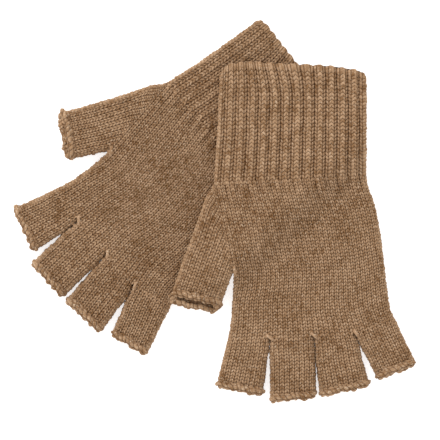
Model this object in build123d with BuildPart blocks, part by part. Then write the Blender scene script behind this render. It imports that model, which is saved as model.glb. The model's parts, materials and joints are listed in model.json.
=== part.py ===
from build123d import *
import os

# A pair of knitted half-finger gloves lying flat. The right glove is below, palm up; the left
# glove lies across it, back up, and sinks to the table past the right glove's edges.
# Each glove is drawn on its own plane: fingers towards +Y, thumb on the +X side, cuff mouth near Y = 0.
# Millimetres throughout.

# Fabric
fabric = 2.0                # one layer of knit
cavity = 4.8                # room between the two layers of a flattened tube
thick = 2 * fabric + cavity
clearance = 0.3             # between pieces that fold apart
opened = 3.0                # how far a hollow runs past the open end of its tube
tall = 60.0                 # higher than anything here

# Rolled edges and ties
roll_width = 3.4
roll_proud = 0.8            # a rolled edge stands out this far round its tube
tie_length, tie_width, tie_height = 4.6, 2.6, 0.9
tie_back = 2.6              # from the finger crotch back into the hand

# Lines across a glove
wrist = 66.0
knuckles = 161.0
little_base = (-53.7, 152.0)    # where the little finger leaves the hand's outer side

# Thumb base line, from the crotch to the outer side
thumb_crotch = Vector(42.0, 119.5)
thumb_outer = Vector(70.0, 108.0)

# Fingers: (base, tip) of the side towards the thumb, then of the side towards the little finger
fingers = {
    "index": ((46.0, knuckles), (53.0, 185.5), (21.6, knuckles), (26.7, 192.0)),
    "middle": ((21.6, knuckles), (22.0, 198.0), (-4.9, knuckles), (-6.2, 197.0)),
    "ring": ((-4.9, knuckles), (-9.0, 196.5), (-30.2, knuckles), (-36.5, 191.5)),
    "little": ((-30.2, knuckles), (-41.5, 187.0), little_base, (-65.5, 179.5)),
}

# The two gloves: where each lies, how far it is turned, and the tip of its thumb (outer side, inner side)
gloves = {
    "right": {"at": (54.5, 80.5), "turn": 130.2, "thumb_tip": ((78.6, 126.0), (53.0, 141.0))},
    "left": {"at": (47.4, 84.2), "turn": -177.4, "thumb_tip": ((79.6, 131.5), (50.2, 139.0))},
}

# How the upper glove lies over the lower one
lift = thick + 0.8          # its underside, on top of the lower glove
ease = 3.0                  # it stays up this far past an edge of the lower glove
fall = 22.0                 # and reaches the table over this distance
little_edge = ((-44.0, 0.0), (-54.0, 150.0))    # the lower glove's little-finger side
cuff_edge = ((-44.0, -4.5), (44.0, -4.5))       # the lower glove's cuff mouth
reach = 400.0
depth = 20.0


def glove_plane(glove):
    """The plane on which one glove is drawn."""
    return Plane(Location((*glove["at"], 0), (0, 0, glove["turn"])))


def digit_outline(sides, near=0.0, far=0.0, widen=0.0):
    """A digit seen from above, starting near past its base line and ending far short of its tip line."""
    base_a, tip_a, base_b, tip_b = (Vector(point) for point in sides)
    along_a, along_b = (tip_a - base_a).normalized(), (tip_b - base_b).normalized()
    start_a, start_b = base_a + along_a * near, base_b + along_b * near
    end_a, end_b = tip_a - along_a * far, tip_b - along_b * far
    start_out = (start_b - start_a).normalized() * widen
    end_out = (end_b - end_a).normalized() * widen
    with BuildSketch() as outline:
        with BuildLine():
            Polyline(start_a - start_out, end_a - end_out, end_b + end_out, start_b + start_out, close=True)
        make_face()
    return outline.sketch


def roll_outline(sides):
    """The band round the end of a digit, a little wider than the digit itself."""
    with BuildSketch() as outline:
        add(digit_outline(sides, widen=roll_proud))
        add(digit_outline(sides, near=-opened, far=roll_width, widen=2 * roll_proud), mode=Mode.SUBTRACT)
    return outline.sketch


def cuff_outline(inset=0.0, past=0.0):
    """The cuff from its mouth to the wrist, with its sides drawn in and its ends moved out."""
    end = wrist - clearance + past
    with BuildSketch() as outline:
        with BuildLine():
            mouth = ThreePointArc((44 - inset, -1 - past), (5, -3.5 - past), (-43 + inset, 3 - past))
            little_side = Spline(mouth @ 1, (-41.5 + inset, 34), (-40.3 + inset, end))
            top = Line(little_side @ 1, (51 - inset, end))
            Spline(top @ 1, (48 - inset, 42), (45.5 - inset, 14), mouth @ 0)
        make_face()
    return outline.sketch


def hand_outline(inset=0.0, past=0.0):
    """The hand from the wrist to the knuckles, with the gusset that carries the thumb."""
    across = (thumb_outer - thumb_crotch).normalized()
    back = across.rotate(Axis.Z, -90)
    with BuildSketch() as outline:
        with BuildLine():
            gusset = Spline(
                (51 - inset, wrist - past),
                (56 - inset, 74),
                (62.5 - inset, 91),
                thumb_outer + (back - across) * inset,
            )
            thumb_base = Line(gusset @ 1, thumb_crotch + back * 1.4 * inset)
            index_side = Spline(
                thumb_base @ 1, (41.4 - inset, 130), (42.6 - inset, 146), (46 - inset, knuckles + past)
            )
            ring_corner = Vector(fingers["ring"][2]) + Vector(0, past)
            little_corner = Vector(little_base) + Vector(inset, past)
            knuckle_line = Polyline(index_side @ 1, ring_corner, little_corner)
            little_side = Spline(
                knuckle_line @ 1, (-50.4 + inset, 141), (-47.8 + inset, 110), (-40.3 + inset, wrist - past)
            )
            Line(little_side @ 1, gusset @ 0)
        make_face()
    return outline.sketch


def hand_hollow(thumb_sides):
    """The inside of the hand, open at the wrist, at the knuckles and into the thumb."""
    with BuildSketch() as hollow:
        add(hand_outline(fabric, opened))
        add(digit_outline(thumb_sides, near=-3 * fabric, widen=-fabric))
    return hollow.sketch


def level_bed(height):
    """Everything below a level surface at this height over the table."""
    with BuildPart() as bed:
        with BuildSketch(Plane.XY.offset(-depth)):
            Rectangle(2 * reach, 2 * reach)
        extrude(amount=depth + height)
    return bed.part


def falling_bed(edge, height):
    """Everything below a sheet that lies on the lower glove and falls to the table past one edge of it."""
    under = glove_plane(gloves["right"])
    start, end = (under.from_local_coords(Vector(*point)) for point in edge)
    along = (end - start).normalized()
    side = Plane(origin=start, x_dir=along.rotate(Axis.Z, 90), z_dir=along)
    with BuildPart() as bed:
        with BuildSketch(side):
            with BuildLine():
                level = Line((-reach, lift + height), (ease, lift + height))
                drop = Spline(level @ 1, (ease + fall, height), tangents=[(1, 0), (1, 0)])
                Polyline(drop @ 1, (reach, height), (reach, -depth), (-reach, -depth), level @ 0)
            make_face()
        extrude(amount=reach, both=True)
    return bed.part


def draped_bed(height):
    """Everything below a sheet that falls past both hidden edges of the lower glove."""
    with BuildPart() as bed:
        add(falling_bed(little_edge, height))
        add(falling_bed(cuff_edge[::-1], height), mode=Mode.INTERSECT)
    return bed.part


def slab(plane, outline, bed, low, high):
    """An outline made solid between two heights over the bed."""
    with BuildPart() as layer:
        with BuildSketch(plane.offset(-depth)):
            add(outline)
        extrude(amount=depth + tall)
        add(bed(high), mode=Mode.INTERSECT)
        add(bed(low), mode=Mode.SUBTRACT)
    return layer.part


def tube(plane, outline, hollow, bed, proud=0.0):
    """A flattened tube of knit: its outline as thick as the glove, less the hollow between its layers."""
    with BuildPart() as knit:
        add(slab(plane, outline, bed, 0, thick + proud))
        add(slab(plane, hollow, bed, fabric, thick - fabric), mode=Mode.SUBTRACT)
    return knit.part


def tie_outline(point, angle):
    """The few darning stitches that close the gap between two tubes."""
    with BuildSketch() as outline:
        with Locations(Location((*point, 0), (0, 0, angle))):
            SlotOverall(tie_length, tie_width)
    return outline.sketch


def write(name, solid):
    """Label one finished piece and write it under its own name."""
    with BuildPart() as piece:
        add(solid)
    piece.part.label = name
    export_step(piece.part, f"parts/{name}.step")


os.makedirs("parts", exist_ok=True)

for side, glove in gloves.items():
    plane = glove_plane(glove)
    bed = level_bed if side == "right" else draped_bed
    outer_tip, inner_tip = glove["thumb_tip"]

    thumb_sides = (thumb_outer, outer_tip, thumb_crotch, inner_tip)

    # Cuff and hand
    write(f"{side}_cuff", tube(plane, cuff_outline(), cuff_outline(fabric, opened), bed))
    write(f"{side}_hand", tube(plane, hand_outline(), hand_hollow(thumb_sides), bed))

    # Digits, each a tube and the rolled edge at its end
    digits = {**fingers, "thumb": thumb_sides}
    for digit, sides in digits.items():
        name = digit if digit == "thumb" else f"{digit}_finger"
        shell = digit_outline(sides, near=clearance, far=roll_width, widen=-clearance / 2)
        hollow = digit_outline(sides, near=-opened, far=-opened, widen=-fabric)
        write(f"{side}_{name}", tube(plane, shell, hollow, bed))
        write(f"{side}_{name}_rolled_edge", tube(plane, roll_outline(sides), hollow, bed, roll_proud))

    # Ties at the finger crotches and the thumb crotch
    crotches = {
        "index_middle": ((21.6, knuckles - tie_back), 90),
        "middle_ring": ((-4.9, knuckles - tie_back), 90),
        "ring_little": ((-30.2, knuckles - tie_back), 90),
        "thumb": ((40.2, 117.5), 60),
    }
    for crotch, (point, angle) in crotches.items():
        write(f"{side}_{crotch}_tie", slab(plane, tie_outline(point, angle), bed, thick, thick + tie_height))
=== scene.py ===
"""The looks of a pair of knitted half-finger gloves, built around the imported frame."""

import json
import logging
import math
from dataclasses import dataclass, field
from enum import Enum
from typing import Any, Callable, ClassVar, Iterable

import bmesh
import bpy
import numpy as np
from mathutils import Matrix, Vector


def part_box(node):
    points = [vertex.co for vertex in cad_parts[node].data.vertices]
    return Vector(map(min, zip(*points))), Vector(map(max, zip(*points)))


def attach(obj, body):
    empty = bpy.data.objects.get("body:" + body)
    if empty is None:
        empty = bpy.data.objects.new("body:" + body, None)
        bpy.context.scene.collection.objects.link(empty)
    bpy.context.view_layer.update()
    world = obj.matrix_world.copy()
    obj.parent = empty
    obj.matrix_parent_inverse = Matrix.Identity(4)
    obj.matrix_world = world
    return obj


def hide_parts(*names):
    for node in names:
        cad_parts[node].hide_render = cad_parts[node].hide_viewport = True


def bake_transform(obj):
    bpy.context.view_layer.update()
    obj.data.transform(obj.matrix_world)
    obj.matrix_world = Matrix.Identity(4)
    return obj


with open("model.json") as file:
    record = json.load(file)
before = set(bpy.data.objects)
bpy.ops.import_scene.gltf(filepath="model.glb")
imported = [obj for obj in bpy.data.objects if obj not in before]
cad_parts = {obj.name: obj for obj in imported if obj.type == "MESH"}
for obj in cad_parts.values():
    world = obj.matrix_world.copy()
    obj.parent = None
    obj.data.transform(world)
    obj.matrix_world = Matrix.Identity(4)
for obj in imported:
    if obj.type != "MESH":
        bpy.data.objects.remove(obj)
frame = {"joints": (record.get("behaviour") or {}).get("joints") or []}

log = logging.getLogger("gloves")
MM = 0.001
CLEARANCE = 0.3
Array = np.ndarray
Colour = tuple[float, float, float, float]
Point = tuple[float, float]


class Side(Enum):
    """Which glove of the pair."""

    RIGHT = "right"
    LEFT = "left"


# ---------------------------------------------------------------- node graphs


class Value:
    """A number socket that can be used in a Python expression."""

    def __init__(self, graph: "Graph", socket: bpy.types.NodeSocket) -> None:
        """Keep the graph that owns the socket.

        Args:
            graph: where new Math nodes go.
            socket: the output that holds the number.
        """
        self.graph = graph
        self.socket = socket

    def _math(self, operation: str, *operands: Any) -> "Value":
        """Add one Math node.

        Args:
            operation: the node's operation.
            operands: numbers or values, in order.

        Returns:
            The node's result.
        """
        found = self.graph.node("ShaderNodeMath", {"operation": operation}, dict(enumerate(operands)))
        return Value(self.graph, found.outputs[0])

    def __add__(self, other: Any) -> "Value":
        """Sum."""
        return self._math("ADD", self, other)

    __radd__ = __add__

    def __sub__(self, other: Any) -> "Value":
        """Difference."""
        return self._math("SUBTRACT", self, other)

    def __rsub__(self, other: Any) -> "Value":
        """Difference from a number."""
        return self._math("SUBTRACT", other, self)

    def __mul__(self, other: Any) -> "Value":
        """Product."""
        return self._math("MULTIPLY", self, other)

    __rmul__ = __mul__

    def __truediv__(self, other: Any) -> "Value":
        """Quotient."""
        return self._math("DIVIDE", self, other)

    def __pow__(self, other: Any) -> "Value":
        """Power."""
        return self._math("POWER", self, other)

    def __abs__(self) -> "Value":
        """Size without sign."""
        return self._math("ABSOLUTE", self)

    def fraction(self) -> "Value":
        """The part after the point."""
        return self._math("FRACT", self)

    def whole(self) -> "Value":
        """The next whole number down."""
        return self._math("FLOOR", self)

    def at_least(self, other: Any) -> "Value":
        """The larger of two values."""
        return self._math("MAXIMUM", self, other)

    def at_most(self, other: Any) -> "Value":
        """The smaller of two values."""
        return self._math("MINIMUM", self, other)

    def ramp(self, low: float, high: float) -> "Value":
        """A smooth step.

        Args:
            low: the value where it starts.
            high: the value where it ends.

        Returns:
            0 before low and 1 after high.
        """
        settings = {"interpolation_type": "SMOOTHSTEP"}
        inputs = {"Value": self, "From Min": low, "From Max": high}
        found = self.graph.node("ShaderNodeMapRange", settings, inputs)
        return Value(self.graph, found.outputs["Result"])


class Graph:
    """One node tree, shader or geometry, with short ways to add nodes."""

    def __init__(self, tree: bpy.types.NodeTree) -> None:
        """Keep the tree."""
        self.tree = tree

    @classmethod
    def geometry(cls, name: str, labels: Iterable[str]) -> tuple["Graph", bpy.types.Node]:
        """Start a geometry tree.

        Args:
            name: the tree's name.
            labels: its number inputs, which come between Geometry and Material.

        Returns:
            The graph and its group input node.
        """
        tree = bpy.data.node_groups.new(name, "GeometryNodeTree")
        inputs = {"Geometry": "Geometry", **dict.fromkeys(labels, "Float"), "Material": "Material"}
        for label, kind in inputs.items():
            tree.interface.new_socket(label, in_out="INPUT", socket_type=f"NodeSocket{kind}")
        tree.interface.new_socket("Geometry", in_out="OUTPUT", socket_type="NodeSocketGeometry")
        graph = cls(tree)
        return graph, graph.node("NodeGroupInput")

    def node(
        self, kind: str, settings: dict[str, Any] | None = None, inputs: dict[Any, Any] | None = None
    ) -> bpy.types.Node:
        """Add any node.

        Args:
            kind: the node's type name.
            settings: properties, set before the sockets.
            inputs: socket name or place to a number, a vector, a value or a socket.

        Returns:
            The new node.
        """
        made = self.tree.nodes.new(kind)
        for name, setting in (settings or {}).items():
            setattr(made, name, setting)
        for key, given in (inputs or {}).items():
            socket = made.inputs[key]
            if isinstance(given, Value):
                self.tree.links.new(given.socket, socket)
            elif isinstance(given, bpy.types.NodeSocket):
                self.tree.links.new(given, socket)
            else:
                socket.default_value = given
        return made

    def value(self, made: bpy.types.Node, output: Any = 0) -> Value:
        """One number output of a node, ready for an expression."""
        return Value(self, made.outputs[output])

    def attribute(self, name: str) -> Value:
        """A number attribute of the geometry, in a geometry tree."""
        found = self.node("GeometryNodeInputNamedAttribute", {"data_type": "FLOAT"}, {"Name": name})
        return self.value(found, "Attribute")

    def mix(self, factor: Any, first: Any, second: Any, blend: str = "MIX") -> bpy.types.NodeSocket:
        """Mix two colours.

        Args:
            factor: how much of the second.
            first: a colour or a colour socket.
            second: a colour or a colour socket.
            blend: the Mix node's blend type.

        Returns:
            The mixed colour's socket.
        """
        settings = {"data_type": "RGBA", "blend_type": blend}
        return self.node("ShaderNodeMix", settings, {0: factor, 6: first, 7: second}).outputs[2]

    def vector(self, operation: str, first: Any, second: Any) -> bpy.types.NodeSocket:
        """Add one Vector Math node.

        Args:
            operation: the node's operation.
            first: a vector or a vector socket.
            second: the same, or the number for SCALE.

        Returns:
            The resulting vector's socket.
        """
        inputs = {0: first, "Scale" if operation == "SCALE" else 1: second}
        return self.node("ShaderNodeVectorMath", {"operation": operation}, inputs).outputs[0]

    def store(self, geometry: bpy.types.NodeSocket, name: str, number: Any) -> bpy.types.NodeSocket:
        """Store a number on a geometry's points.

        Args:
            geometry: the geometry's socket.
            name: the attribute's name.
            number: a value or a socket.

        Returns:
            The geometry with the attribute.
        """
        settings = {"data_type": "FLOAT", "domain": "POINT"}
        inputs = {"Geometry": geometry, "Name": name, "Value": number}
        return self.node("GeometryNodeStoreNamedAttribute", settings, inputs).outputs[0]

    def close(self, geometry: bpy.types.NodeSocket, material: bpy.types.NodeSocket) -> None:
        """End a geometry tree with real faces in one material.

        Args:
            geometry: the finished geometry's socket.
            material: the material's socket.
        """
        real = self.node("GeometryNodeRealizeInstances", None, {"Geometry": geometry})
        inputs = {"Geometry": real.outputs[0], "Material": material}
        dressed = self.node("GeometryNodeSetMaterial", None, inputs)
        self.tree.links.new(dressed.outputs[0], self.node("NodeGroupOutput").inputs["Geometry"])


def run_tree(source: bpy.types.Object, tree: bpy.types.NodeTree, given: dict[str, Any]) -> bpy.types.Mesh:
    """Run a geometry tree on an object, which keeps no modifier.

    Args:
        source: the object.
        tree: the tree.
        given: the tree's inputs by label.

    Returns:
        The result as a plain mesh.
    """
    modifier = source.modifiers.new(tree.name, "NODES")
    modifier.node_group = tree
    for item in tree.interface.items_tree:
        if item.in_out == "INPUT" and item.name in given:
            modifier[item.identifier] = given[item.name]
    bpy.context.view_layer.update()
    graph = bpy.context.evaluated_depsgraph_get()
    mesh = bpy.data.meshes.new_from_object(source.evaluated_get(graph), depsgraph=graph)
    source.modifiers.remove(modifier)
    return mesh


# ---------------------------------------------------------------- finishes


def rgb(red: float, green: float, blue: float) -> Colour:
    """A colour from its linear red, green and blue."""
    return (red, green, blue, 1.0)


@dataclass(frozen=True)
class MelangeWool:
    """Carded wool yarn spun from brown, camel and a few pale fibres.

    The mesh carries wale and course coordinates, and shade, which is 0 in the gaps between stitches; from it
    the finish paints shade into the gaps and the rib valleys with the gap colour.
    """

    name: str
    camel: Colour = rgb(0.50, 0.318, 0.187)
    brown: Colour = rgb(0.228, 0.115, 0.047)
    pale: Colour = rgb(0.70, 0.555, 0.405)
    # gap: the painted shade colour, mixed in where the shade attribute is low
    gap: Colour = rgb(0.078, 0.028, 0.006)
    sheen: Colour = rgb(0.9, 0.68, 0.48)
    camel_share: float = 0.55
    gap_shade_strength: float = 0.86
    gap_shade_range: Point = (-0.05, 0.80)
    fleck_range: Point = (0.56, 0.70)
    lightness: float = 1.03
    pale_share: float = 0.5
    cloud_size: float = 0.014
    mottle_size: float = 0.0022
    fleck_size: float = 0.0009
    fibre_size: float = 0.0003
    fibre_height: float = 0.00022

    def material(self) -> bpy.types.Material:
        """Build the finish.

        Returns:
            The material.
        """
        made = bpy.data.materials.new(self.name)
        made.use_nodes = True
        made.node_tree.nodes.clear()
        graph = Graph(made.node_tree)
        place = graph.node("ShaderNodeTexCoord").outputs["Object"]
        wale, course, shade = (
            graph.value(graph.node("ShaderNodeAttribute", {"attribute_name": name}), "Fac")
            for name in ("wale", "course", "shade")
        )
        leg = graph.node("ShaderNodeCombineXYZ", None, {0: (wale * 2).whole(), 1: course.whole()})
        random = graph.value(
            graph.node("ShaderNodeTexWhiteNoise", {"noise_dimensions": "2D"}, {"Vector": leg.outputs[0]})
        )

        def noise(size: float, detail: float) -> Value:
            """Soft noise of one size on the piece, about 0.5."""
            inputs = {"Vector": place, "Scale": 1 / size, "Detail": detail, "Roughness": 0.6}
            return graph.value(graph.node("ShaderNodeTexNoise", None, inputs), "Fac")

        clouds, mottle = noise(self.cloud_size, 2), noise(self.mottle_size, 2)
        flecks, fibres = noise(self.fleck_size, 1), noise(self.fibre_size, 2)
        # how far each leg, each patch and each fibre strays from the yarn's mean
        strays = ((random, 0.6), (clouds, 1.2), (mottle, 1.6), (fibres, 0.8))
        tone: Any = self.camel_share
        for found, weight in strays:
            tone = tone + (found - 0.5) * weight
        wool = graph.mix(tone.at_least(0).at_most(1), self.brown, self.camel)
        wool = graph.mix(flecks.ramp(*self.fleck_range) * self.pale_share, wool, self.pale)
        # painted shade: the gaps between stitches and the rib valleys darken towards the gap colour
        depth = (1 - shade.ramp(*self.gap_shade_range)) * self.gap_shade_strength
        wool = graph.mix(depth, wool, self.gap)
        bright = self.lightness
        wool = graph.mix(1.0, wool, rgb(bright, bright, bright), "MULTIPLY")
        fuzz = {"Strength": 0.7, "Distance": self.fibre_height, "Height": fibres + flecks * 1.5}
        fabric = {
            "Base Color": wool,
            "Roughness": 0.92,
            "Specular IOR Level": 0.10,
            "Sheen Weight": 0.06,
            "Sheen Roughness": 0.5,
            "Sheen Tint": self.sheen,
            "Normal": graph.node("ShaderNodeBump", None, fuzz).outputs[0],
        }
        surface = graph.node("ShaderNodeBsdfPrincipled", None, fabric)
        out = graph.node("ShaderNodeOutputMaterial")
        graph.tree.links.new(surface.outputs[0], out.inputs["Surface"])
        return made


@dataclass(frozen=True)
class PaleFloor:
    """The plain white floor. It glows a little, so that shadows on it stay faint."""

    name: str = "pale_floor"
    glow: float = 0.62

    def material(self) -> bpy.types.Material:
        """Build the finish."""
        made = bpy.data.materials.new(self.name)
        made.use_nodes = True
        surface = made.node_tree.nodes["Principled BSDF"]
        surface.inputs["Base Color"].default_value = rgb(0.85, 0.85, 0.85)
        surface.inputs["Roughness"].default_value = 0.9
        surface.inputs["Emission Color"].default_value = rgb(1, 1, 1)
        surface.inputs["Emission Strength"].default_value = self.glow
        return made


# ---------------------------------------------------------------- geometry trees


@dataclass
class StitchTree:
    """The geometry tree that raises stitches, ribs and soft unevenness on a smooth knitted sheet."""

    relief: float = 1.25 * MM
    sunk: float = 0.8
    rib_depth: float = 2.2 * MM
    waviness: float = 0.55 * MM
    lie: float = 0.9 * MM
    unevenness: float = 0.5
    squareness: float = 3.2
    gap_floor: float = 0.18
    joining: float = 0.30
    seed: float = 4.0
    tuck: float = 0.84
    edge_tuck: float = 0.62
    # level: the painted shade where no stitch shows
    level: float = 0.35
    dome_level: float = 0.40
    dome_middle: float = 0.17
    dome_power: float = 2.2
    dome_shade: float = 0.28
    patch_scale: float = 60.0
    lie_scale: float = 38.0
    tree: bpy.types.NodeTree | None = None

    SIZES: ClassVar[dict[str, str]] = {
        key.replace("_", " ").title(): key
        for key in (
            "relief",
            "sunk",
            "rib_depth",
            "waviness",
            "lie",
            "unevenness",
            "squareness",
            "gap_floor",
            "joining",
            "seed",
        )
    }

    def build(self) -> None:
        """Make the tree."""
        graph, given = Graph.geometry("knit_stitches", self.SIZES)
        self.tree = graph.tree
        relief, sunk, rib_depth, waviness, lie, unevenness, squareness, gap_floor, joining, seed = (
            graph.value(given, label) for label in self.SIZES
        )
        wale, course, rib = (graph.attribute(name) for name in ("wale", "course", "rib"))
        stitch, ribbing, free = (graph.attribute(name) for name in ("stitch", "ribbing", "free"))

        # one leg of a stitch runs along a row of the sheet, rounded across and tucked in at its ends
        across = (1 - abs(course.fraction() * 2 - 1) ** squareness) ** 0.5
        across = gap_floor + (1 - gap_floor) * across
        end = abs((wale * 2).fraction() * 2 - 1)
        edge = abs(wale.fraction() * 2 - 1)
        crest = 1 - abs(rib.fraction() * 2 - 1)
        along = 1 - end**3 * (self.tuck - edge * (self.tuck - self.edge_tuck + joining * ribbing * crest))
        place = graph.node("ShaderNodeCombineXYZ", None, {0: (wale * 2).whole(), 1: course.whole(), 2: seed})
        random = graph.value(graph.node("ShaderNodeTexWhiteNoise", None, {"Vector": place.outputs[0]}))
        height = across * along * (1 + unevenness * (random - 0.5))
        dome = self.dome_level - abs(rib.fraction() * 2 - 1) ** self.dome_power
        raised = stitch * relief * (height - sunk) + ribbing * rib_depth * dome

        position = graph.node("GeometryNodeInputPosition").outputs[0]
        soft = graph.node(
            "ShaderNodeTexNoise",
            {"noise_dimensions": "4D"},
            {"Vector": position, "W": seed, "Scale": self.patch_scale, "Detail": 3.5, "Roughness": 0.62},
        )
        lay = graph.node(
            "ShaderNodeTexNoise",
            {"noise_dimensions": "4D"},
            {"Vector": position, "W": seed + 7, "Scale": self.lie_scale, "Detail": 2.0},
        )
        shift = graph.vector("SUBTRACT", soft.outputs["Color"], (0.5, 0.5, 0.5))
        wave = graph.vector("SCALE", graph.vector("MULTIPLY", shift, (2.0, 2.0, 0.0)), waviness)
        outward = graph.node(
            "GeometryNodeInputNamedAttribute", {"data_type": "FLOAT_VECTOR"}, {"Name": "outward"}
        ).outputs["Attribute"]
        proud = graph.vector("SCALE", outward, raised)
        rise = graph.node("ShaderNodeCombineXYZ", None, {2: (graph.value(lay) - 0.5) * 2 * lie * free})
        total = graph.vector("ADD", graph.vector("ADD", wave, proud), rise.outputs[0])
        moved = graph.vector("ADD", position, total)
        # nothing goes under the table
        resting = graph.vector("MAXIMUM", moved, (-9.0, -9.0, 0.0))
        # painted shade, stored for the finish: low in the gaps between legs, raised on the rib crests and
        # lowered in their valleys, and at a middling level where no stitch shows, on the lining, the rims
        # and the gusset's seam
        ribs_shade = ribbing * (dome - self.dome_middle) * self.dome_shade * stitch
        shade = (height - self.level) * stitch + self.level + ribs_shade
        stored = graph.store(given.outputs["Geometry"], "shade", shade)
        placed = graph.node("GeometryNodeSetPosition", None, {"Geometry": stored, "Position": resting})
        graph.close(placed.outputs[0], given.outputs["Material"])

    def apply(
        self, piece: bpy.types.Object, material: bpy.types.Material, **changed: float
    ) -> bpy.types.Object:
        """Knit one sheet and make it a plain mesh.

        Args:
            piece: the smooth sheet.
            material: its finish.
            changed: sizes that differ from the tree's own, by field name.

        Returns:
            The same object with its stitched mesh.
        """
        sizes = {label: float(changed.get(key, getattr(self, key))) for label, key in self.SIZES.items()}
        mesh = run_tree(piece, self.tree, {**sizes, "Material": material})
        old, piece.data = piece.data, mesh
        mesh.name = piece.name
        bpy.data.meshes.remove(old)
        for name in ("outward", "stitch", "ribbing", "rib", "free"):
            if name in mesh.attributes:
                mesh.attributes.remove(mesh.attributes[name])
        return piece


# ---------------------------------------------------------------- meshes


def set_attributes(mesh: bpy.types.Mesh, values: dict[str, Array]) -> None:
    """Store numbers and vectors on a mesh's points.

    Args:
        mesh: where they go.
        values: one row a point for vectors, and any grid of numbers, by name.
    """
    for key, value in values.items():
        vector = key == "outward"
        kind, entry = ("FLOAT_VECTOR", "vector") if vector else ("FLOAT", "value")
        store = mesh.attributes.new(key, kind, "POINT").data
        store.foreach_set(entry, value.astype(np.float32).ravel())


def clean(mesh: bpy.types.Mesh, merge: float = 0.0, thin: float = 0.0, turn: bool = False) -> None:
    """Merge near points, face every face outwards and shade it smooth.

    Args:
        mesh: the mesh, changed in place.
        merge: points this near to each other become one, or 0 for none.
        thin: faces and edges thinner than this go, or 0 for none.
        turn: whether the mesh carries a kind for each face; edges between two kinds are then sharp, and
            the mesh is turned inside out if its volume is negative.
    """
    work = bmesh.new()
    work.from_mesh(mesh)
    if merge:
        bmesh.ops.remove_doubles(work, verts=work.verts, dist=merge)
    if thin:
        bmesh.ops.dissolve_degenerate(work, edges=work.edges, dist=thin)
    bmesh.ops.recalc_face_normals(work, faces=work.faces)
    if turn:
        if work.calc_volume(signed=True) < 0:
            bmesh.ops.reverse_faces(work, faces=work.faces)
        layer = work.faces.layers.int["kind"]
        for edge in work.edges:
            edge.smooth = len({face[layer] for face in edge.link_faces}) < 2
    for polygon in work.faces:
        polygon.smooth = True
    work.to_mesh(mesh)
    work.free()


def link(name: str, content: Any) -> bpy.types.Object:
    """Put a mesh, curve, lamp or camera in the scene as an object."""
    made = bpy.data.objects.new(name, content)
    bpy.context.scene.collection.objects.link(made)
    return made


def join(pieces: list[bpy.types.Object]) -> bpy.types.Object:
    """Make one object of several meshes.

    Args:
        pieces: the objects; the first one is kept.

    Returns:
        The first object, which now holds all their faces.
    """
    work = bmesh.new()
    for piece in pieces:
        work.from_mesh(piece.data)
    work.to_mesh(pieces[0].data)
    work.free()
    for extra in pieces[1:]:
        bpy.data.objects.remove(extra)
    return pieces[0]


# ---------------------------------------------------------------- curves and sections


def smooth_curve(points: list[Point], steps: int = 12) -> Array:
    """A smooth line through points.

    Args:
        points: where it passes, in order.
        steps: pieces between two points.

    Returns:
        The points of the line, one row each.
    """
    known = np.array(points, float)
    ends = np.vstack([2 * known[0] - known[1], known, 2 * known[-1] - known[-2]])
    share = np.linspace(0, 1, steps, endpoint=False)[:, None]
    line = [
        b
        + (c - a) * share / 2
        + (2 * a - 5 * b + 4 * c - d) * share**2 / 2
        + (3 * b - a - 3 * c + d) * share**3 / 2
        for a, b, c, d in zip(ends, ends[1:], ends[2:], ends[3:])
    ]
    return np.vstack([*line, known[-1:]])


def smooth_step(value: Array | float, low: float, high: float) -> Array:
    """0 before low, 1 after high and smooth between, where low may be above high."""
    share = np.clip((np.asarray(value, float) - low) / (high - low), 0, 1)
    return share * share * (3 - 2 * share)


def nearest(points: Array, lines: list[Array]) -> tuple[Array, Array]:
    """How far points lie inside some edge lines.

    Args:
        points: one row each.
        lines: edge lines, with the inside on their left.

    Returns:
        The distances, and the directions straight inwards.
    """
    starts = np.vstack([line[:-1] for line in lines])
    runs = np.vstack([line[1:] - line[:-1] for line in lines])
    square = (runs**2).sum(1)
    left = np.stack([-runs[:, 1], runs[:, 0]], 1) / np.sqrt(square)[:, None]
    far = np.empty(len(points))
    inward = np.empty((len(points), 2))
    chunk, on_line = 20000, 0.05
    for first in range(0, len(points), chunk):
        part = points[first : first + chunk]
        rel = part[:, None, :] - starts[None]
        share = np.clip((rel * runs).sum(2) / square, 0, 1)
        gap = rel - share[..., None] * runs
        length = np.sqrt((gap**2).sum(2))
        pick = length.argmin(1)
        rows = np.arange(len(part))
        best = length[rows, pick]
        across = gap[rows, pick] / np.maximum(best, 1e-9)[:, None]
        far[first : first + chunk] = best
        inward[first : first + chunk] = np.where(best[:, None] < on_line, left[pick], across)
    return far, inward


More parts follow.
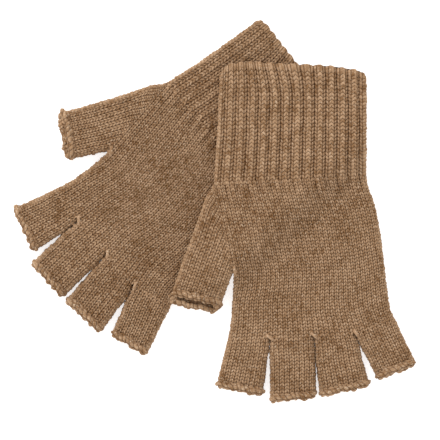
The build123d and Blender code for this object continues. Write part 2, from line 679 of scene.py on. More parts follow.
@dataclass(frozen=True)
class Lay:
    """How a flattened tube of knit closes at its folded sides. Millimetres."""

    thick: float
    fabric: float = 2.0
    fold: float = 3.0

    @property
    def half(self) -> float:
        """Half the flattened tube's thickness."""
        return self.thick / 2

    def near(self, inside: Array) -> Array:
        """1 at the folded side, 0 where the tube is flat."""
        return np.clip(1 - inside / self.fold, 0, 1)

    def height(self, inside: Array) -> Array:
        """Height of the surface over the middle, at a distance inside the folded side."""
        return self.half * np.sqrt(1 - self.near(inside) ** 2)

    def normal(self, inside: Array, inward: Array, up: Array) -> Array:
        """Outward directions of the surface.

        Args:
            inside: distance inside the folded side.
            inward: level direction away from that side.
            up: 1 on the upper layer and -1 on the lower one.

        Returns:
            Unit vectors.
        """
        level = -inward * (self.near(inside) / self.fold)[..., None]
        rise = up * self.height(inside) / self.half**2
        found = np.concatenate([level, rise[..., None]], -1)
        return found / np.maximum(np.linalg.norm(found, axis=-1, keepdims=True), 1e-9)

    def around(self, share: Array, width: Array) -> tuple[Array, Array]:
        """Places at even lengths along one layer, from fold to fold.

        Args:
            share: 0 at the first fold and 1 at the second.
            width: the flat width of the tube at each place.

        Returns:
            The distance from the first fold seen from above, and the distance inside the nearer fold.
        """
        angle = np.linspace(0, math.pi / 2, 40)
        bow, rise = self.fold * (1 - np.cos(angle)), self.half * np.sin(angle)
        length = np.concatenate([[0], np.cumsum(np.hypot(np.diff(bow), np.diff(rise)))])
        quarter = length[-1]
        total = width - 2 * self.fold + 2 * quarter
        run = np.clip(share, 0, 1) * total
        back = total - run
        short = np.minimum(run, back)
        inside = np.where(short < quarter, np.interp(short, length, bow), self.fold + short - quarter)
        place = np.where(run <= back, inside, width - inside)
        return place, inside


# ---------------------------------------------------------------- placing


@dataclass
class Place:
    """Where one glove lies, and the surface that it lies on. Millimetres."""

    origin: Array
    turn: float
    drape: Callable[[Array], Array] | None = None

    @classmethod
    def from_frame(cls, side: Side, known: Point) -> "Place":
        """Read a glove's place from its index finger's hinge.

        Args:
            side: the glove.
            known: that hinge's place on the glove's own plan.

        Returns:
            The place, with nothing to drape over yet.
        """
        name = f"{side.value}_index_finger_fold"
        joint = next(j for j in frame["joints"] if j["name"] == name)
        turn = math.atan2(joint["axis"][1], joint["axis"][0])
        made = cls(np.zeros(2), turn)
        made.origin = np.array(joint["pos_m"][:2]) / MM - made.turned(np.array(known))
        return made

    def turned(self, plan: Array, way: int = 1) -> Array:
        """Turn plan directions to the row frame, or with way -1 back from it."""
        c, s = math.cos(self.turn), way * math.sin(self.turn)
        return np.stack([plan[..., 0] * c - plan[..., 1] * s, plan[..., 0] * s + plan[..., 1] * c], -1)

    def to_plan(self, level: Array) -> Array:
        """Row-frame millimetres back to this glove's plan."""
        return self.turned(level - self.origin, -1)

    def put(self, points: Array, normals: Array) -> tuple[Array, Array]:
        """Move points and directions from the plan to the row frame.

        Args:
            points: x, y and z on the plan.
            normals: unit directions on the plan.

        Returns:
            Points in metres and unit directions.
        """
        level = self.turned(points[..., :2]) + self.origin
        lean = self.turned(normals[..., :2])
        height, up = points[..., 2], normals[..., 2]
        if self.drape is not None:
            step = 0.25
            height = height + self.drape(level)
            slopes = [
                (self.drape(level + way) - self.drape(level - way)) / (2 * step) for way in np.eye(2) * step
            ]
            lean = lean - np.stack(slopes, -1) * up[..., None]
        placed = np.concatenate([level, height[..., None]], -1) * MM
        facing = np.concatenate([lean, up[..., None]], -1)
        return placed, facing / np.maximum(np.linalg.norm(facing, axis=-1, keepdims=True), 1e-9)

    def point(self, x: float, y: float) -> Vector:
        """One plan point in the row frame, in metres, at the table's height."""
        level = self.turned(np.array([x, y])) + self.origin
        return Vector((level[0], level[1], 0.0)) * MM

    def loose(self, up: Array) -> Array:
        """How freely points rise and sink: a layer that lies flat on the table doesn't."""
        return (up + 1) / 2 if self.drape is None else np.ones(up.shape)


@dataclass(frozen=True)
class LowerGlove:
    """The hidden edges of the lower glove, over which the upper one falls to the table. Millimetres."""

    place: Place
    lift: float
    ease: float = 3.0
    fall: float = 22.0
    soft: float = 0.6
    little_edge: tuple[Point, ...] = ((-44.0, 0.0), (-54.0, 150.0))
    cuff_edge: tuple[Point, ...] = ((44.0, -4.5), (-44.0, -4.5))

    def past(self, plan: Array, edge: tuple[Point, ...]) -> Array:
        """How far points lie beyond one edge.

        Args:
            plan: points on the lower glove's plan.
            edge: its two ends, with the glove on the right of the way from one to the other.

        Returns:
            The distances, negative on the glove's side.
        """
        start, end = np.array(edge[0]), np.array(edge[1])
        along = (end - start) / np.linalg.norm(end - start)
        rel = plan - start
        return rel[..., 1] * along[0] - rel[..., 0] * along[1]

    def height(self, level: Array) -> Array:
        """Height of the upper glove's underside.

        Args:
            level: row-frame points.

        Returns:
            The heights over the table.
        """
        plan = self.place.to_plan(level)
        beyond = self.past(plan, self.little_edge), self.past(plan, self.cuff_edge)
        first, second = (self.lift * (1 - smooth_step(d, self.ease, self.ease + self.fall)) for d in beyond)
        gap = np.maximum(self.soft - np.abs(first - second), 0) / self.soft
        return np.minimum(first, second) - gap**2 * self.soft / 4


# ---------------------------------------------------------------- sheets


@dataclass(frozen=True)
class Gauge:
    """The knit's gauge and how finely a stitch is meshed."""

    course: float = 2.0
    slant: float = 0.7
    steps: tuple[float, ...] = (0.0, 1 / 6, 1 / 3, 0.5, 2 / 3, 5 / 6)
    rounds: tuple[float, ...] = (0.0, 0.17, 0.5, 0.83)
    lining_rows: int = 8

    def lattice(self, wales: int, first: int, last: int, closed: bool) -> tuple[Array, Array]:
        """The mesh lines of a sheet of stitches.

        Args:
            wales: stitches across.
            first: number of the first course.
            last: number that the last course ends on.
            closed: whether the sheet joins up round a tube.

        Returns:
            Wale and course coordinates, rows first.
        """
        across = [w + step for w in range(wales) for step in self.steps]
        if not closed:
            across.append(float(wales))
        up = [c + step for c in range(first, last) for step in self.rounds] + [float(last)]
        return tuple(np.meshgrid(np.array(across), np.array(up)))

    def drop(self, wale: Array) -> Array:
        """How far a leg lies below the point of its V, in courses."""
        return self.slant * np.abs(2 * (wale % 1.0) - 1)


@dataclass
class Sheet:
    """One closed wall of knit: an outer face of stitches and a plainer lining face."""

    points: Array
    normals: Array
    wale: Array
    course: Array
    closed: bool
    stitch: Array
    rib: Array
    ribbing: Array
    free: Array
    wall: Array
    gauge: Gauge = field(default_factory=Gauge)

    def mesh_data(self) -> tuple[Array, list[list[int]], list[int], dict[str, Array]]:
        """Work out the wall.

        Returns:
            The vertices, the faces, the kind of each face (0 outer, 1 lining, 2 rim), and the attributes.
        """
        rows, cols = self.wale.shape
        steps = len(self.gauge.steps)
        inner_cols = list(range(0, cols, steps))
        if not self.closed and inner_cols[-1] != cols - 1:
            inner_cols.append(cols - 1)
        inner_rows = list(range(0, rows - 1, self.gauge.lining_rows)) + [rows - 1]
        grid = np.ix_(inner_rows, inner_cols)
        lining = self.points[grid] - self.normals[grid] * self.wall[grid][..., None]
        outer = np.arange(rows * cols).reshape(rows, cols)
        inner = outer.size + np.arange(lining.shape[0] * lining.shape[1]).reshape(lining.shape[:2])
        faces: list[list[int]] = []
        kinds: list[int] = []

        def quads(ids: Array, kind: int, turned: bool) -> None:
            """Add the quads of one grid.

            Args:
                ids: vertex numbers, rows first.
                kind: the faces' kind.
                turned: whether they face the other way.
            """
            right = np.roll(ids, -1, 1) if self.closed else ids[:, 1:]
            this = ids if self.closed else ids[:, :-1]
            four = np.stack([this[:-1], right[:-1], right[1:], this[1:]], -1).reshape(-1, 4)
            if turned:
                four = four[:, ::-1]
            faces.extend(four.tolist())
            kinds.extend([kind] * len(four))

        def rim(fine: list[int], coarse: list[int], marks: list[int], turned: bool) -> None:
            """Add the faces that join an edge of the outer face to the lining's.

            Args:
                fine: the outer face's vertices along the edge.
                coarse: the lining's vertices along it.
                marks: places in fine that stand over a vertex of the lining.
                turned: whether the faces are wound the other way.
            """
            for k in range(len(marks) - 1):
                one = fine[marks[k] : marks[k + 1] + 1] + [coarse[k + 1], coarse[k]]
                faces.append(one[::-1] if turned else one)
                kinds.append(2)

        quads(outer, 0, False)
        quads(inner, 1, True)
        marks = inner_cols + ([cols] if self.closed else [])
        for row, far in ((0, True), (-1, False)):
            fine, coarse = outer[row].tolist(), inner[row].tolist()
            if self.closed:
                fine, coarse = fine + fine[:1], coarse + coarse[:1]
            rim(fine, coarse, marks, far)
        if not self.closed:
            for col, far in ((0, False), (-1, True)):
                rim(outer[:, col].tolist(), inner[:, col].tolist(), inner_rows, far)
        attributes = {
            name: np.concatenate([source.ravel(), source[grid].ravel() * kept])
            for name, source, kept in (
                ("wale", self.wale, 1.0),
                ("course", self.course, 1.0),
                ("rib", self.rib, 1.0),
                ("free", self.free, 1.0),
                ("ribbing", self.ribbing, 0.0),
                ("stitch", self.stitch, 0.0),
            )
        }
        facing = np.concatenate([self.normals.reshape(-1, 3), np.zeros((inner.size, 3))])
        attributes["outward"] = facing
        vertices = np.concatenate([self.points.reshape(-1, 3), lining.reshape(-1, 3)])
        return vertices, faces, kinds, attributes


def make_piece(name: str, sheets: list[Sheet], merge: bool = False) -> bpy.types.Object:
    """Make one object from closed walls of knit.

    Args:
        name: the piece's name.
        sheets: its walls.
        merge: whether some rows of a wall run together and have to be merged.

    Returns:
        The object, with the attributes that the stitch tree reads.
    """
    vertices, faces, kinds = [], [], []
    attributes: dict[str, list[Array]] = {}
    for sheet in sheets:
        found, polygons, kind, values = sheet.mesh_data()
        base = sum(len(v) for v in vertices)
        vertices.append(found)
        faces.extend([[i + base for i in face] for face in polygons])
        kinds.extend(kind)
        for key, value in values.items():
            attributes.setdefault(key, []).append(value)
    mesh = bpy.data.meshes.new(name)
    mesh.from_pydata(np.concatenate(vertices).tolist(), [], faces)
    set_attributes(mesh, {key: np.concatenate(parts) for key, parts in attributes.items()})
    mesh.attributes.new("kind", "INT", "FACE").data.foreach_set("value", np.array(kinds, np.int32))
    clean(mesh, 0.004 * MM if merge else 0.0, 0.002 * MM if merge else 0.0, turn=True)
    mesh.attributes.remove(mesh.attributes["kind"])
    return link(name, mesh)


# ---------------------------------------------------------------- tubes


@dataclass
class Tube:
    """A flattened tube of knit between two side lines. Millimetres on the glove's plan.

    Both side lines run from the tube's base to its end: side_a is the one towards the thumb. Spans, reaches
    and places are shares of the tube's length or width; rows count in courses.
    """

    side_a: Array
    side_b: Array
    wales: int
    courses: int
    lay: Lay
    gauge: Gauge
    phase: float = 0.0
    tuck_start: bool = True
    tuck_end: bool = False
    open_start: bool = False
    rim: tuple[Point, ...] = ()
    lean: float = 0.0
    ribs: float = 0.0
    rib_fade: Point = (2.0, 1.0)
    scallop: float = 0.0
    neck: float = 0.0
    lip: float = 0.0
    rim_reach: float = 1 / 1.6
    lean_reach: float = 1 / 3.2
    lean_place: Point = (0.42, 0.22)
    scallop_rows: float = 1.6
    neck_span: Point = (0.72, 0.97)
    lip_span: Point = (0.3, 1.0)
    tuck: float = 0.9
    turn_in: float = 0.6
    lip_thinning: float = 1.1
    mouth_rows: float = 1.5
    mouth_stretch: float = 0.3

    def along(self, line: Array, share: Array) -> Array:
        """Points of a side line, which runs straight on past its ends.

        Args:
            line: the line's points.
            share: 0 at its start and 1 at its end.

        Returns:
            The points.
        """
        runs = np.linalg.norm(np.diff(line, axis=0), axis=1)
        length = np.concatenate([[0], np.cumsum(runs)])
        place = np.clip(share, 0, 1) * length[-1]
        found = np.stack([np.interp(place, length, line[:, k]) for k in (0, 1)], -1)
        first = (line[1] - line[0]) / runs[0]
        last = (line[-1] - line[-2]) / runs[-1]
        before, after = np.minimum(share, 0) * length[-1], np.maximum(share - 1, 0) * length[-1]
        return found + before[..., None] * first + after[..., None] * last

    def sheet(self, place: Place) -> Sheet:
        """Lay out the tube's wall.

        Args:
            place: where its glove lies.

        Returns:
            The wall.
        """
        first, last = (-1 if self.tuck_start else 0), self.courses + (1 if self.tuck_end else 0)
        wale, course = self.gauge.lattice(2 * self.wales, first, last, True)
        slant = smooth_step(course, 0.0, 2.0) if self.open_start else 1.0
        share = (course - self.gauge.drop(wale) * slant) / self.courses
        start, end = self.along(self.side_a, share), self.along(self.side_b, share)
        across = end - start
        width = np.linalg.norm(across, axis=-1)
        across = across / width[..., None]
        turn = (wale - self.phase) % (2 * self.wales) / self.wales
        upper = turn <= 1
        layer = np.where(upper, turn, 2 - turn)
        off, inside = self.lay.around(layer, width)
        part = off / width
        up = np.where(upper, 1.0, -1.0)
        inward = np.where((part < 0.5)[..., None], across, -across)
        level = start + across * off[..., None]
        rib = wale / 2 if self.ribs else wale * 0
        if self.rim:
            shift = np.interp(part, *np.array(self.rim).T)
            level[..., 1] += shift * np.clip(1 - share / self.rim_reach, 0, 1) ** 2
        if self.lip:
            ahead = (end[-1] + start[-1] - end[0] - start[0]).mean(0)
            ahead = ahead / np.linalg.norm(ahead)
            down = (1 - up * self.lay.height(inside) / self.lay.half) / 2
            level = level + ahead * (self.lip * down * smooth_step(share, *self.lip_span))[..., None]
        middle, spread = self.lean_place
        lean = np.clip(1 - share / self.lean_reach, 0, 1) ** 2 * np.exp(-(((part - middle) / spread) ** 2))
        level[..., 0] += self.lean * lean
        dome = 1 - np.abs(2 * (rib % 1) - 1) ** 2
        level[..., 1] -= self.scallop * dome * smooth_step(course, self.scallop_rows, 0.0)
        height = self.lay.half + up * self.lay.height(inside)
        points = np.concatenate([level, height[..., None]], -1)
        normals = self.lay.normal(inside, inward, up)
        wall = np.full(wale.shape, self.lay.fabric)
        sink = np.zeros(wale.shape)
        if self.tuck_start:
            sink = sink + self.tuck * smooth_step(course, 0.0, -self.turn_in)
        if self.tuck_end:
            sink = sink + self.tuck * smooth_step(course, self.courses, self.courses + self.turn_in)
        if self.neck:
            sink = sink + self.neck * smooth_step(share, *self.neck_span) * np.abs(normals[..., 2])
        if self.open_start:
            lip = 1 - np.sqrt(1 - np.clip(1 - course / self.turn_in, 0, 1) ** 2)
            sink = sink + self.tuck * lip
            wall = wall - self.lip_thinning * lip
        points = points - normals * sink[..., None]
        ribbing = np.zeros(wale.shape)
        if self.ribs:
            fade = smooth_step(course / self.courses, *self.rib_fade)
            # the ribs are flatter beside the thumb's side, most of all at the mouth
            side, corner = (part / 0.25) ** 2, (part / 0.2) ** 2 + (share / 0.2) ** 2
            ribbing = self.ribs * fade * (1 - 0.30 * np.exp(-side) - 0.6 * np.exp(-corner))
        placed, facing = place.put(points, normals)
        if self.open_start:
            # the mouth's first rows are one long smooth stitch
            rows = self.mouth_rows
            course = np.where(course < rows, rows - (rows - course) * self.mouth_stretch, course)
        return Sheet(
            points=placed,
            normals=facing,
            wale=wale,
            course=course,
            closed=True,
            stitch=np.ones(wale.shape),
            rib=rib,
            ribbing=ribbing,
            free=place.loose(up),
            wall=wall * MM,
            gauge=self.gauge,
        )


# ---------------------------------------------------------------- the hand


@dataclass
class HandPlan:
    """The plan of one hand, from wrist to knuckles, with the gusset that carries the thumb. Millimetres."""

    wrist: float = 66.0
    knuckles: float = 161.0
    crotch: Point = (42.0, 119.5)
    thumb_outer: Point = (70.0, 108.0)
    gusset_start: Point = (51.0, 66.0)
    gusset_bend: tuple[Point, ...] = ((56.0, 74.0), (62.5, 91.0))
    cuff_side: tuple[Point, ...] = ((44.0, -1.0), (45.5, 14.0), (48.0, 42.0))
    little_base: Point = (-53.7, 152.0)
    little_wrist: Point = (-40.3, 66.0)
    finger_crotches: tuple[float, ...] = (21.6, -4.9, -30.2)
    index_base: float = 46.0
    index_bend: tuple[Point, ...] = ((41.4, 130.0), (42.6, 146.0), (46.0, 161.0), (53.0, 185.5))
    palm_wales: int = 35
    gusset_wales: int = 12
    courses: int = 48
    ribs_per_layer: int = 14

    def little_side(self) -> Array:
        """The outer side, from the little finger down to the cuff, with the hand on its left."""
        above, below = [(-65.5, 179.5), self.little_base], [self.little_wrist, (-41.3, 40)]
        return smooth_curve([*above, (-50.4, 141), (-48.2, 110), (-45.4, 86), *below])

    def gusset_side(self) -> Array:
        """The thumb side, from the cuff up to the thumb's base."""
        return smooth_curve([(48.2, 40), self.gusset_start, *self.gusset_bend, self.thumb_outer])

    def index_side(self) -> Array:
        """The side from the thumb's crotch up past the index finger's base."""
        return smooth_curve([self.crotch, *self.index_bend])

    def top(self, x: Array) -> Array:
        """Height of the fingers' base line at a place across the hand."""
        corner = self.finger_crotches[-1]
        fall = (self.knuckles - self.little_base[1]) / (corner - self.little_base[0])
        return self.knuckles - fall * np.maximum(corner - x, 0)

    def pits(self) -> Array:
        """The points where two fingers part."""
        return np.array([(x, self.knuckles) for x in self.finger_crotches])

    def inside(self, level: Array, with_pits: bool) -> tuple[Array, Array]:
        """How far points lie inside the folded sides and the crotches.

        Args:
            level: plan points.
            with_pits: whether the finger crotches count.

        Returns:
            The distances and the level directions inwards.
        """
        flat = level.reshape(-1, 2)
        lines = [self.little_side(), self.gusset_side(), self.index_side()]
        far, inward = nearest(flat, lines)
        for pit in self.pits() if with_pits else []:
            away = flat - pit
            length = np.linalg.norm(away, axis=1)
            closer = length < far
            far = np.where(closer, length, far)
            inward = np.where(closer[:, None], away / np.maximum(length, 1e-6)[:, None], inward)
        return far.reshape(level.shape[:-1]), inward.reshape(level.shape)


@dataclass
class Hand:
    """One hand: a wall of stitches round the palm and one round the gusset. Millimetres."""

    plan: HandPlan
    lay: Lay
    gauge: Gauge
    place: Place
    seam_tuck: float = 0.7
    seam_run: float = 0.6
    seam_sink: float = 0.35
    rib_rise: Point = (13.0, -2.0)
    rib_share: float = 0.8
    _table: dict[str, Array] = field(default_factory=dict)

    def _right_edge(self, y: Array) -> Array:
        """Where the palm's wales stop on the thumb side: at the gusset, then at the index side.

        Args:
            y: heights on the plan.

        Returns:
            The places across.
        """
        plan = self.plan
        start, crotch = np.array(plan.gusset_start), np.array(plan.crotch)
        share = np.clip((y - start[1]) / (crotch[1] - start[1]), 0, 1)
        gusset = start[0] + (crotch[0] - start[0]) * share
        side, cuff = plan.index_side(), plan.gusset_side()
        above = np.interp(y, side[:, 1], side[:, 0])
        below = np.interp(y, cuff[:, 1], cuff[:, 0])
        return np.where(y > crotch[1], above, np.where(y < start[1], below, gusset))

    def _spread(self) -> None:
        """Work out where the palm's wales lie at every height."""
        plan = self.plan
        heights = np.arange(plan.wrist - 4, plan.knuckles + 3, 1.0)
        side = plan.little_side()[::-1]
        left = np.interp(heights, side[:, 1], side[:, 0])
        right = self._right_edge(heights)
        wales = np.linspace(0, plan.palm_wales, plan.palm_wales * 6 + 1)
        share = 0.5 - 0.5 * np.cos(np.linspace(0, math.pi, 241))
        across = right[:, None] + (left - right)[:, None] * share[None]
        level = np.stack([across, np.repeat(heights[:, None], across.shape[1], 1)], -1)
        inside, _ = plan.inside(level, False)
        z = self.lay.height(inside)
        # the fold at the index finger's side starts at the thumb's crotch and counts little by little
        folded = smooth_step(heights, plan.crotch[1], plan.crotch[1] + 22)[:, None]
        weight = np.where(share[None, 1:] < 0.5, folded, 1.0)
        runs = np.hypot(np.diff(across, axis=1), np.diff(z, axis=1) * weight)
        length = np.concatenate([np.zeros((len(heights), 1)), np.cumsum(runs, 1)], 1)
        rows = [
            np.interp(wales / plan.palm_wales * line[-1], line, spot) for line, spot in zip(length, across)
        ]
        self._table = {"heights": heights, "wales": wales, "x": np.array(rows)}

    def across(self, wale: Array, y: Array) -> Array:
        """Where a wale of the palm lies across the hand.

        Args:
            wale: wale coordinate from the thumb side, on one layer.
            y: height on the plan.

        Returns:
            The place across.
        """
        if not self._table:
            self._spread()
        heights, wales, table = (self._table[key] for key in ("heights", "wales", "x"))
        row = np.clip((y - heights[0]) / (heights[1] - heights[0]), 0, len(heights) - 1.001)
        col = np.clip(wale / (wales[1] - wales[0]), 0, len(wales) - 1.001)
        r, c = row.astype(int), col.astype(int)
        fr, fc = row - r, col - c
        low = table[r, c] * (1 - fc) + table[r, c + 1] * fc
        high = table[r + 1, c] * (1 - fc) + table[r + 1, c + 1] * fc
        return low * (1 - fr) + high * fr

    def wale_at(self, x: float) -> float:
        """The palm's wale coordinate at a place on the knuckle line."""
        wales = self._table["wales"]
        spread = self.across(wales, np.full(len(wales), self.plan.knuckles - 1))
        return float(np.interp(-x, -spread, wales))

    def palm(self) -> Sheet:
        """The wall round the palm and the back of the hand."""
        plan, gauge = self.plan, self.gauge
        wale, course = gauge.lattice(2 * plan.palm_wales, 0, plan.courses, False)
        up = np.where(wale <= plan.palm_wales, 1.0, -1.0)
        one = np.where(up > 0, wale, 2 * plan.palm_wales - wale)
        share = (course - gauge.drop(wale)) / plan.courses
        y = plan.wrist + (plan.knuckles - plan.wrist) * share
        for _ in range(4):
            x = self.across(one, y)
            y = plan.wrist + (plan.top(x) - plan.wrist) * share
        level = np.stack([x, y], -1)
        rib = one * (plan.ribs_per_layer / plan.palm_wales)
        return self._wall(level, up, wale, course, rib, np.ones(wale.shape))

    def gusset(self) -> Sheet:
        """The wedge of stitches between the palm and the thumb, thumb base first."""
        plan, gauge = self.plan, self.gauge
        crotch, outer, start = (np.array(p) for p in (plan.crotch, plan.thumb_outer, plan.gusset_start))
        edge = plan.gusset_side()
        edge = edge[edge[:, 1] >= start[1] - 0.01][::-1]
        chord = np.linspace(0, 1, len(edge))[:, None] * (start - outer) + outer
        length = float(np.linalg.norm(start - outer))
        rounds = math.ceil(length / gauge.course) + 1
        wale, down = gauge.lattice(2 * plan.gusset_wales, 0, rounds, False)
        width = float(np.linalg.norm(outer - crotch))
        up = np.where(wale <= plan.gusset_wales, 1.0, -1.0)
        layer = np.where(up > 0, wale, 2 * plan.gusset_wales - wale) / plan.gusset_wales
        off, _ = self.lay.around(layer, np.full(wale.shape, width))
        part = off / width
        reach = length * part
        run = (down + gauge.drop(wale)) * gauge.course
        run = np.minimum(run, reach + self.seam_tuck)
        share = run / np.maximum(reach, 1e-6)
        share = np.where(reach < 1e-3, 0, share)
        base = crotch + (outer - crotch) * part[..., None]
        seam = crotch + (start - crotch) * part[..., None]
        inside_share = np.clip(share, 0, 1)
        known = np.linspace(0, 1, len(edge))
        bulge = np.stack([np.interp(inside_share, known, (edge - chord)[:, k]) for k in (0, 1)], -1)
        along = (start - outer) / length
        level = base + (seam - base) * inside_share[..., None] + bulge * (part**2)[..., None]
        over = np.clip(run - reach, 0, self.seam_tuck)
        level = level + along * over[..., None] * self.seam_run
        fade = smooth_step(reach - run, 0.0, 0.8)
        made = self._wall(level, up, wale, -down, wale * 0, fade)
        sink = (self.seam_sink * smooth_step(over, 0.0, 0.5))[..., None]
        made.points = made.points - made.normals * sink * MM
        return made

    def _wall(
        self, level: Array, up: Array, wale: Array, course: Array, rib: Array, stitch: Array
    ) -> Sheet:
        """Raise plan points to the hand's surface.

        Args:
            level: plan points.
            up: 1 on the upper layer and -1 on the lower one.
            wale: wale coordinates.
            course: course coordinates.
            rib: rib coordinates, for the last of the cuff's ribs.
            stitch: how strongly the stitches stand out.

        Returns:
            The wall in the row frame.
        """
        plan = self.plan
        inside, inward = plan.inside(level, True)
        points = np.concatenate([level, (self.lay.half + up * self.lay.height(inside))[..., None]], -1)
        normals = self.lay.normal(inside, inward, up)
        placed, facing = self.place.put(points, normals)
        # the cuff's ribs run out above the wrist
        start, end = (plan.wrist + rise for rise in self.rib_rise)
        ribbing = smooth_step(level[..., 1], start, end) * self.rib_share
        ribbing = np.where(np.abs(rib) > 0, ribbing, 0)
        return Sheet(
            points=placed,
            normals=facing,
            wale=wale,
            course=course,
            closed=False,
            stitch=stitch,
            rib=rib,
            ribbing=ribbing,
            free=self.place.loose(up),
            wall=np.full(wale.shape, self.lay.fabric * MM),
            gauge=self.gauge,
        )


# ---------------------------------------------------------------- rolled edges and ties


@dataclass
class RolledEdge:
    """The edge of a digit, rolled outwards so that its back shows as a twisted chain. Millimetres."""

    end_a: Array
    end_b: Array
    forward: Array
    lay: Lay
    proud: float = 0.8
    radius: float = 2.45
    length: float = 2.15
    bump: float = 2.8
    twist: int = 2
    swell: float = 0.10
    waver: float = 0.22
    steps: int = 24
    rounds: tuple[float, ...] = (0.0, 0.1, 0.25, 0.5, 0.75, 0.9)
    lip_shift: float = 0.0

    def sheet_points(self, place: Place) -> tuple[Array, Array, Array, Array]:
        """Lay out the ring.

        Args:
            place: where its glove lies.

        Returns:
            Points, outward directions, and the wale and course coordinates.
        """
        across = self.end_b - self.end_a
        width = float(np.linalg.norm(across))
        across = across / width
        top = self.lay.thick + self.proud
        half = top / 2 - self.radius
        flat = width + 2 * self.proud - 2 * self.radius - 2 * half
        arc = math.pi * half
        around = 2 * flat + 2 * arc
        bumps = round(around / self.bump)
        course = (np.arange(bumps)[:, None] + np.array(self.rounds)[None]).ravel()
        turn = np.linspace(0, 1, self.steps, endpoint=False)
        turn, course = np.meshgrid(turn, course)
        phase = float(self.end_a[0])

        def wave(waves: int, offset: float = 0.0) -> Array:
            """An even wave that runs round the ring."""
            return np.sin(2 * math.pi * share * waves + offset)

        share = (course + self.twist * turn) / bumps
        share = (share + self.waver / bumps * wave(4, phase)) % 1.0
        radius = self.radius * (1 + self.swell * (wave(3, phase) + 0.8 * wave(7, -phase)))
        run = share * around
        # the ring runs over the top, round one side, back underneath and round the other side
        legs = [run < flat, run < flat + arc, run < 2 * flat + arc]
        angle = np.where(legs[1], run - flat, run - 2 * flat - arc) / half
        side, rise = np.sin(angle), half * np.cos(angle)
        places = [run - flat / 2, flat / 2 + half * side, flat / 2 - (run - flat - arc)]
        x = np.select(legs, places, -flat / 2 - half * side)
        z = np.select(legs, [half, rise, -half], -rise)
        nx, nz = np.select(legs, [0.0, side, 0.0], -side), z / half
        swing = 2 * math.pi * turn
        out_x, out_z, out_f = np.cos(swing) * nx, np.cos(swing) * nz, np.sin(swing)
        middle = (self.end_a + self.end_b) / 2
        ripple = 0.35 * wave(5, phase) + 0.2 * wave(11)
        forward = (out_f - 1) * self.length + ripple + self.lip_shift * (1 - nz) / 2
        sideways = x + out_x * radius
        level = middle + across * sideways[..., None] + self.forward * forward[..., None]
        height = top / 2 + z + out_z * np.minimum(radius, top / 2 - np.abs(z) * 0.98)
        points = np.concatenate([level, height[..., None]], -1)
        lean = across * out_x[..., None] + self.forward * out_f[..., None]
        normals = np.concatenate([lean, out_z[..., None]], -1)
        placed, facing = place.put(points, normals)
        return placed, facing, turn, course

    def build(self, name: str, place: Place) -> bpy.types.Object:
        """Make the ring.

        Args:
            name: the piece's name.
            place: where its glove lies.

        Returns:
            The object, smooth, with the attributes that the stitch tree reads.
        """
        points, normals, turn, course = self.sheet_points(place)
        rows, cols = course.shape
        ids = np.arange(rows * cols).reshape(rows, cols)
        # the last column joins the first one, shifted by the twist
        shifted = np.roll(ids[:, :1], -len(self.rounds) * self.twist, 0)
        right = np.concatenate([ids[:, 1:], shifted], 1)
        four = np.stack([ids, right, np.roll(right, -1, 0), np.roll(ids, -1, 0)], -1).reshape(-1, 4)
        mesh = bpy.data.meshes.new(name)
        mesh.from_pydata(points.reshape(-1, 3).tolist(), [], four.tolist())
        flat = dict.fromkeys(("rib", "ribbing"), course * 0)
        full = dict.fromkeys(("stitch", "free"), np.ones(course.shape))
        numbers = {"wale": turn * 2 + 0.25, "course": course, **flat, **full}
        set_attributes(mesh, {**numbers, "outward": normals})
        clean(mesh)
        return link(name, mesh)


